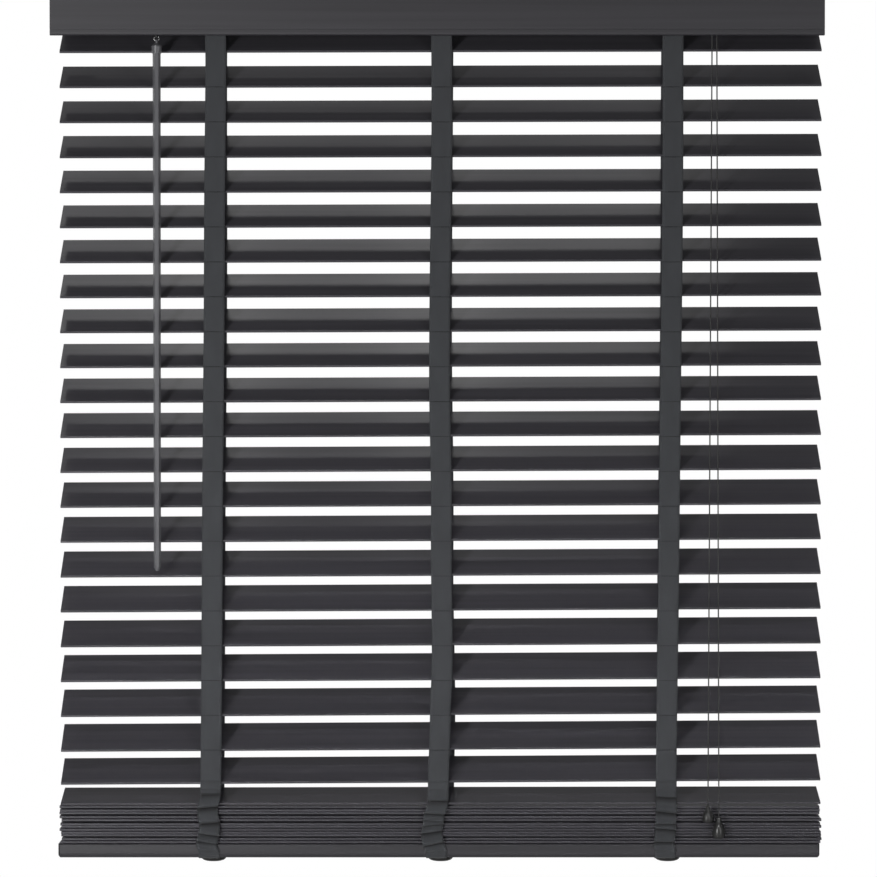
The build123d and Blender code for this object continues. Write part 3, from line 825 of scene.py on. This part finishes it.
def bunch_rows(ladder, side, creases):
    """Rows of one bunch down to its end under the rail, and how much painted shade darkens each row."""
    inner, rows, crease_shade_rows = SLAT_WIDTH / 2 + 0.9, [], []
    top_z, top_slant, top_shift = BUNCH_TOP + 2, 0.0, 0.0
    start_y = TAPE_Y if side < 0 else SLAT_WIDTH / 2 + 1
    for number, (low_z, low_slant, low_shift) in enumerate((*creases, (BUNCH_END, 0, creases[-1][2] / 3))):
        last = number == len(creases)
        height = top_z - low_z
        depth = 1.6 if last else min(7.4, 3.4 + 0.26 * height)
        for step in range(12):
            part = step / 12
            swell = math.sin(math.pi * part**2.8) ** 0.7 if part else 0.0
            y = inner + depth * swell
            if number == 0:
                y = start_y + (inner + 1.5 - start_y) * part + 2.2 * swell * part
            slip = part**3 * (4 - 3 * part)
            z = top_z - height * part - 2.4 * math.sin(math.pi * part**3)
            slant = top_slant + (low_slant - top_slant) * part
            shift = top_shift + (low_shift - top_shift) * slip
            ripple = side * 0.5 * math.sin(3.1 * number + 2 * part)
            rows.append(tape_row(ladder, z, side * y, shift, slant, ripple))
            # Painted shade, strongest at the crease: rows just below a crease and just above the next one are
            # darkened.
            below = min(1.0, max(0.0, 1.4 - 3 * part)) if number else 0.0
            above = 0.0 if last else max(0.0, 1 - 4.5 * (1 - part))
            crease_shade_rows.append(max(below, above))
        if not last:
            # The crease row itself is painted almost fully dark.
            rows.append(tape_row(ladder, low_z + 0.5, side * (inner + 0.1), low_shift, low_slant))
            crease_shade_rows.append(0.9)
        top_z, top_slant, top_shift = low_z, low_slant, low_shift
    for angle in range(0, 91, 15):
        turn = math.radians(angle)
        y = side * (19 + CORNER_R * math.cos(turn))
        rows.append(tape_row(ladder, RAIL_BOTTOM + 6 - CORNER_R * math.sin(turn), y, top_shift))
    rows.append(tape_row(ladder, RAIL_BOTTOM - 0.7, side * 12, top_shift))
    crease_shade_rows += [0.0] * (len(rows) - len(crease_shade_rows))
    return rows, crease_shade_rows


def link_rows(ladder, side):
    """The short link between the last hanging slat's edge and the bunch."""
    start, rows = edge_height(HANGING, side) + 1, []
    start_y = tape_reach(start, side) - 0.2
    end_y = TAPE_Y + 0.3 if side < 0 else SLAT_WIDTH / 2 + 1
    for step in range(9):
        part = step / 8
        z = start + (BUNCH_TOP - start) * part
        rows.append(tape_row(ladder, z, side * (start_y + (end_y - start_y) * part)))
    return rows


for side, name in ((-1, "front"), (1, "back")):
    folded = [bunch_rows(x, side, creases) for x, creases in zip(LADDERS, CREASES[side])]
    strips = [rows for rows, crease_shade_rows in folded]
    bunch_mesh = ribbon_mesh("bunch", strips)
    # The painted shade of each row, for every point on both faces of the ribbon, is stored as a point
    # attribute.
    crease_shade_points = [depth for rows, crease_shade_rows in folded for depth in 2 * [t for t in crease_shade_rows for _ in range(WIDE)]]
    shade = bunch_mesh.attributes.new("painted_crease_shade", "FLOAT", "POINT")
    shade.data.foreach_set("value", crease_shade_points)
    bunch = new_piece(f"tape_bunches_{name}", bunch_mesh, tape_cloth, "bottom_rail")
    link_mesh = ribbon_mesh("link", [link_rows(x, side) for x in LADDERS])
    link = new_piece(f"tape_links_{name}", link_mesh, tape_cloth)
    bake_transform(link)

# %% [markdown]
# What repeats is made with Geometry Nodes: the cross tapes under the slats, the seams where they
# are woven in, and the gathered slats. Each tree has named inputs for its sizes, the seam and slat
# trees a fixed seed as well, and each ends by making the copies real; its result is turned into a plain mesh.

# %% Geometry Nodes helpers


def new_tree(name, inputs):
    tree = bpy.data.node_groups.new(name, "GeometryNodeTree")
    tree.interface.new_socket("Geometry", in_out="INPUT", socket_type="NodeSocketGeometry")
    for label, kind in inputs:
        tree.interface.new_socket(label, in_out="INPUT", socket_type=kind)
    tree.interface.new_socket("Geometry", in_out="OUTPUT", socket_type="NodeSocketGeometry")
    return tree, tree.nodes.new("NodeGroupInput"), tree.nodes.new("NodeGroupOutput")


def wired(tree, kind, **inputs):
    node = tree.nodes.new(kind)
    for key, value in inputs.items():
        feed(tree.links, node.inputs[key.replace("_", " ")], value)
    return node


def reckoned(tree, operation, first, second, kind="ShaderNodeMath"):
    """The result of a sum on two inputs, each a socket or a number."""
    node = tree.nodes.new(kind)
    node.operation = operation
    feed(tree.links, node.inputs[0], first)
    feed(tree.links, node.inputs[1], second)
    return node.outputs[0]


def copied(tree, points, shape, turn=None):
    """Copies of a shape on points, turned where a turn is given."""
    node = wired(tree, "GeometryNodeInstanceOnPoints", Points=points, Instance=shape)
    if turn is not None:
        tree.links.new(turn, node.inputs["Rotation"])
    return node.outputs["Instances"]


def ended(tree, copies, g_in, g_out):
    """The end of a tree: its copies made real and given their finish."""
    real = wired(tree, "GeometryNodeRealizeInstances", Geometry=copies)
    painted = wired(tree, "GeometryNodeSetMaterial", Geometry=real.outputs["Geometry"])
    tree.links.new(g_in.outputs["Finish"], painted.inputs["Material"])
    tree.links.new(painted.outputs["Geometry"], g_out.inputs["Geometry"])


def grown(name, tree, points, values):
    """The tree's result on a mesh of points, as a plain mesh; values are by input name."""
    seed_mesh = bpy.data.meshes.new(name)
    seed_mesh.from_pydata([Vector(p) * MM for p in points], [], [])
    carrier = bpy.data.objects.new(name + "_seed", seed_mesh)
    bpy.context.scene.collection.objects.link(carrier)
    modifier = carrier.modifiers.new("grow", "NODES")
    modifier.node_group = tree
    names = {s.name: s.identifier for s in tree.interface.items_tree if s.in_out == "INPUT"}
    for label, value in values.items():
        modifier[names[label]] = value
    bpy.context.view_layer.update()
    made = bpy.data.meshes.new_from_object(carrier.evaluated_get(bpy.context.evaluated_depsgraph_get()))
    made.name = name
    bpy.data.objects.remove(carrier)
    return made


print("tree helpers ready")

# %% [markdown]
# Each slat lies on three cross tapes, narrow woven strips between the front and back tape. They
# lie left and right of the lift cord in turn, so that the cord keeps the slats from slipping out.

# %% Cross tapes under the slats
cross_tree, g_in, g_out = new_tree(
    "cross_tape",
    [("Size", "NodeSocketVector"), ("Turn", "NodeSocketVector"), ("Finish", "NodeSocketMaterial")],
)
strip = wired(cross_tree, "GeometryNodeMeshCube", Vertices_X=3, Vertices_Y=12, Vertices_Z=2)
cross_tree.links.new(g_in.outputs["Size"], strip.inputs["Size"])
strips = copied(cross_tree, g_in.outputs["Geometry"], strip.outputs["Mesh"], g_in.outputs["Turn"])
ended(cross_tree, strips, g_in, g_out)

CROSS_WIDTH = 3
CROSS_THICK = 0.6
CROSS_OFFSET = 6
CROSS_GAP = 0.05
FIRST_RISE = 2.2
LAST_RISE = 5.3
below = SLAT_THICK / 2 + CROSS_GAP + CROSS_THICK / 2
for number in range(1, HANGING + 1):
    name, tilt, z = f"cross_tapes_{number:02d}", slat_tilt(number), slat_height(number)
    rise = FIRST_RISE + (LAST_RISE - FIRST_RISE) * (number - 1) / (HANGING - 1)
    offset = CROSS_OFFSET if number % 2 else -CROSS_OFFSET
    points = []
    for ladder in LADDERS:
        height = z + ladder * rise / SLAT_LENGTH - below * math.cos(tilt)
        points.append((ladder_x(ladder, z) + offset, below * math.sin(tilt), height))
    size = Vector((CROSS_WIDTH, 2 * (tape_reach(z, -1) - 0.4) / math.cos(tilt), CROSS_THICK)) * MM
    values = {"Size": size, "Turn": (tilt, 0, 0), "Finish": tape_cloth}
    mesh = grown(name, cross_tree, points, values)
    piece = new_piece(name, mesh, tape_cloth, f"slat_{number:02d}")
    if 1 < number < HANGING:
        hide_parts(f"rungs_{number:02d}")
print("cross tapes for", HANGING, "slats")

# %% [markdown]
# Where a cross tape is sewn into the ladder tape, a short row of dark stitches crosses the ribbon.
# One tree lays a row of stitches, turns each by a small seeded amount, and copies the row to every
# level. A line in the material would be quicker, but stitches catch the light and reach the edge.

# %% Seams across the tapes
seam_tree, g_in, g_out = new_tree(
    "tape_seam",
    [
        ("Stitches", "NodeSocketInt"),
        ("Width", "NodeSocketFloat"),
        ("Stitch", "NodeSocketVector"),
        ("Seed", "NodeSocketInt"),
        ("Finish", "NodeSocketMaterial"),
    ],
)
stitches, width = g_in.outputs["Stitches"], g_in.outputs["Width"]
start = wired(seam_tree, "ShaderNodeCombineXYZ", X=reckoned(seam_tree, "MULTIPLY", width, -0.5))
step = reckoned(seam_tree, "DIVIDE", width, reckoned(seam_tree, "SUBTRACT", stitches, 1))
stride = wired(seam_tree, "ShaderNodeCombineXYZ", X=step)
line = wired(seam_tree, "GeometryNodeMeshLine", Count=stitches, Offset=stride.outputs[0])
seam_tree.links.new(start.outputs[0], line.inputs["Start Location"])
stitch = wired(seam_tree, "GeometryNodeMeshCube", Vertices_X=3, Vertices_Y=2, Vertices_Z=2)
seam_tree.links.new(g_in.outputs["Stitch"], stitch.inputs["Size"])
wobble = wired(seam_tree, "FunctionNodeRandomValue", Seed=g_in.outputs["Seed"])
wobble.data_type = "FLOAT_VECTOR"
wobble.inputs[0].default_value = (0, -0.12, 0)
wobble.inputs[1].default_value = (0, 0.12, 0)
row = copied(seam_tree, line.outputs["Mesh"], stitch.outputs["Mesh"], wobble.outputs[0])
ended(seam_tree, copied(seam_tree, g_in.outputs["Geometry"], row), g_in, g_out)

for side, name, body in ((-1, "front", "front_tapes"), (1, "back", "back_tapes")):
    points = []
    for ladder in LADDERS:
        for number in range(2, HANGING):
            z = edge_height(number, side) - 0.8
            x = ladder_x(ladder, z) + drift(ladder, side, z)
            points.append((x, side * (tape_reach(z, side) + 0.33), z))
    values = {
        "Stitches": 9,
        "Width": 22.4 * MM,
        "Stitch": Vector((2.3, 0.35, 0.8)) * MM,
        "Seed": 5,
        "Finish": thread,
    }
    seam_mesh = grown("seams", seam_tree, points, values)
    seams = new_piece(f"tape_seams_{name}", seam_mesh, thread, body)
    shorten_when_raised(seams)
    print(name, "seams", len(points))

# %% [markdown]
# The gathered slats lie on the rail in a pile that is never quite square: their ends slip a few
# millimetres and the gaps differ, which shows as lines of unlike darkness. A tree copies one slat
# with eased edges and route holes up the pile, and a seeded random value moves each copy a little.

# %% The pile of gathered slats
slat_tree, g_in, g_out = new_tree(
    "gathered_slat",
    [
        ("Length", "NodeSocketFloat"),
        ("Width", "NodeSocketFloat"),
        ("Thickness", "NodeSocketFloat"),
        ("Eased edge", "NodeSocketFloat"),
        ("Turn", "NodeSocketVector"),
        ("Play", "NodeSocketVector"),
        ("Seed", "NodeSocketInt"),
        ("Finish", "NodeSocketMaterial"),
    ],
)
ROUTE_HOLE = Vector((6.5, 20, 12)) * MM
length = g_in.outputs["Length"]
far = wired(slat_tree, "ShaderNodeCombineXYZ", X=reckoned(slat_tree, "MULTIPLY", length, 0.5))
near = wired(slat_tree, "ShaderNodeCombineXYZ", X=reckoned(slat_tree, "MULTIPLY", length, -0.5))
axis = wired(slat_tree, "GeometryNodeCurvePrimitiveLine", Start=near.outputs[0], End=far.outputs[0])
section = wired(slat_tree, "GeometryNodeCurvePrimitiveQuadrilateral")
slat_tree.links.new(g_in.outputs["Width"], section.inputs["Width"])
slat_tree.links.new(g_in.outputs["Thickness"], section.inputs["Height"])
ease = g_in.outputs["Eased edge"]
eased = wired(slat_tree, "GeometryNodeFilletCurve", Curve=section.outputs[0], Radius=ease)
board = wired(slat_tree, "GeometryNodeCurveToMesh", Curve=axis.outputs[0], Fill_Caps=True)
slat_tree.links.new(eased.outputs[0], board.inputs["Profile Curve"])
punch = wired(slat_tree, "GeometryNodeMeshCube", Size=ROUTE_HOLE)
first, apart = (LADDERS[0] * MM, 0, 0), ((LADDERS[1] - LADDERS[0]) * MM, 0, 0)
holes_at = wired(slat_tree, "GeometryNodeMeshLine", Count=3, Start_Location=first, Offset=apart)
punches = copied(slat_tree, holes_at.outputs[0], punch.outputs["Mesh"])
punches_real = wired(slat_tree, "GeometryNodeRealizeInstances", Geometry=punches)
holed = wired(slat_tree, "GeometryNodeMeshBoolean")
slat_tree.links.new(board.outputs[0], holed.inputs["Mesh 1"])
slat_tree.links.new(punches_real.outputs[0], holed.inputs["Mesh 2"])
turn, play = g_in.outputs["Turn"], g_in.outputs["Play"]
lay = wired(slat_tree, "FunctionNodeRandomValue", Seed=g_in.outputs["Seed"])
lay.data_type = "FLOAT_VECTOR"
slat_tree.links.new(reckoned(slat_tree, "SUBTRACT", turn, play, "ShaderNodeVectorMath"), lay.inputs[0])
slat_tree.links.new(reckoned(slat_tree, "ADD", turn, play, "ShaderNodeVectorMath"), lay.inputs[1])
laid = copied(slat_tree, g_in.outputs["Geometry"], holed.outputs["Mesh"], lay.outputs[0])
ended(slat_tree, laid, g_in, g_out)

PILE_SLATS = 12
PILE_GAP = 0.83
END_SLIP = 1.6
RESTING_Z = -995.9
slips = random.Random(8)
gaps = []
for _ in range(PILE_SLATS - 1):
    gaps.append(slips.choice((0.2, 0.45, 0.8, 1.7)) + slips.uniform(-0.1, 0.1))
loose = (PILE_SLATS - 1) * PILE_GAP / sum(gaps)
z = RAIL_TOP + PILE_GAP + SLAT_THICK / 2
pile_points = [(slips.uniform(-END_SLIP, END_SLIP), 0, z)]
for gap in gaps:
    z += SLAT_THICK + gap * loose
    pile_points.append((slips.uniform(-END_SLIP, END_SLIP), 0, z))
values = {
    "Length": SLAT_LENGTH * MM,
    "Width": SLAT_WIDTH * MM,
    "Thickness": SLAT_THICK * MM,
    "Eased edge": 0.7 * MM,
    "Turn": (0, 0, 0),
    "Play": (math.radians(0.5), math.radians(0.035), math.radians(0.1)),
    "Seed": 3,
    "Finish": slat_paint,
}
pile_mesh = grown("pile", slat_tree, pile_points, values)
pile = new_piece("gathered_slats", pile_mesh, slat_paint, "bottom_rail", ["stacked_slats"])
values["Turn"] = (math.radians(15.6), math.radians(-0.1), 0)
values["Play"] = (0, 0, 0)
rest_mesh = grown("rest", slat_tree, [(0, 0, RESTING_Z)], values)
resting = new_piece("resting_slat", rest_mesh, slat_paint, "bottom_rail", ["stacked_slats"])
for piece in (pile, resting):
    for face in piece.data.polygons:
        face.use_smooth = False
    print(piece.name, [round(v, 4) for v in piece.dimensions])

# %% [markdown]
# A pull cord is fixed at the lock and carries its tassel, so on the real blind it stretches between
# the two when the blind is raised. Here each cord's place is only written into its mesh.

# %% The pull cords' places written into their meshes
for name, (cord, line) in pull_cords.items():
    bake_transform(cord)
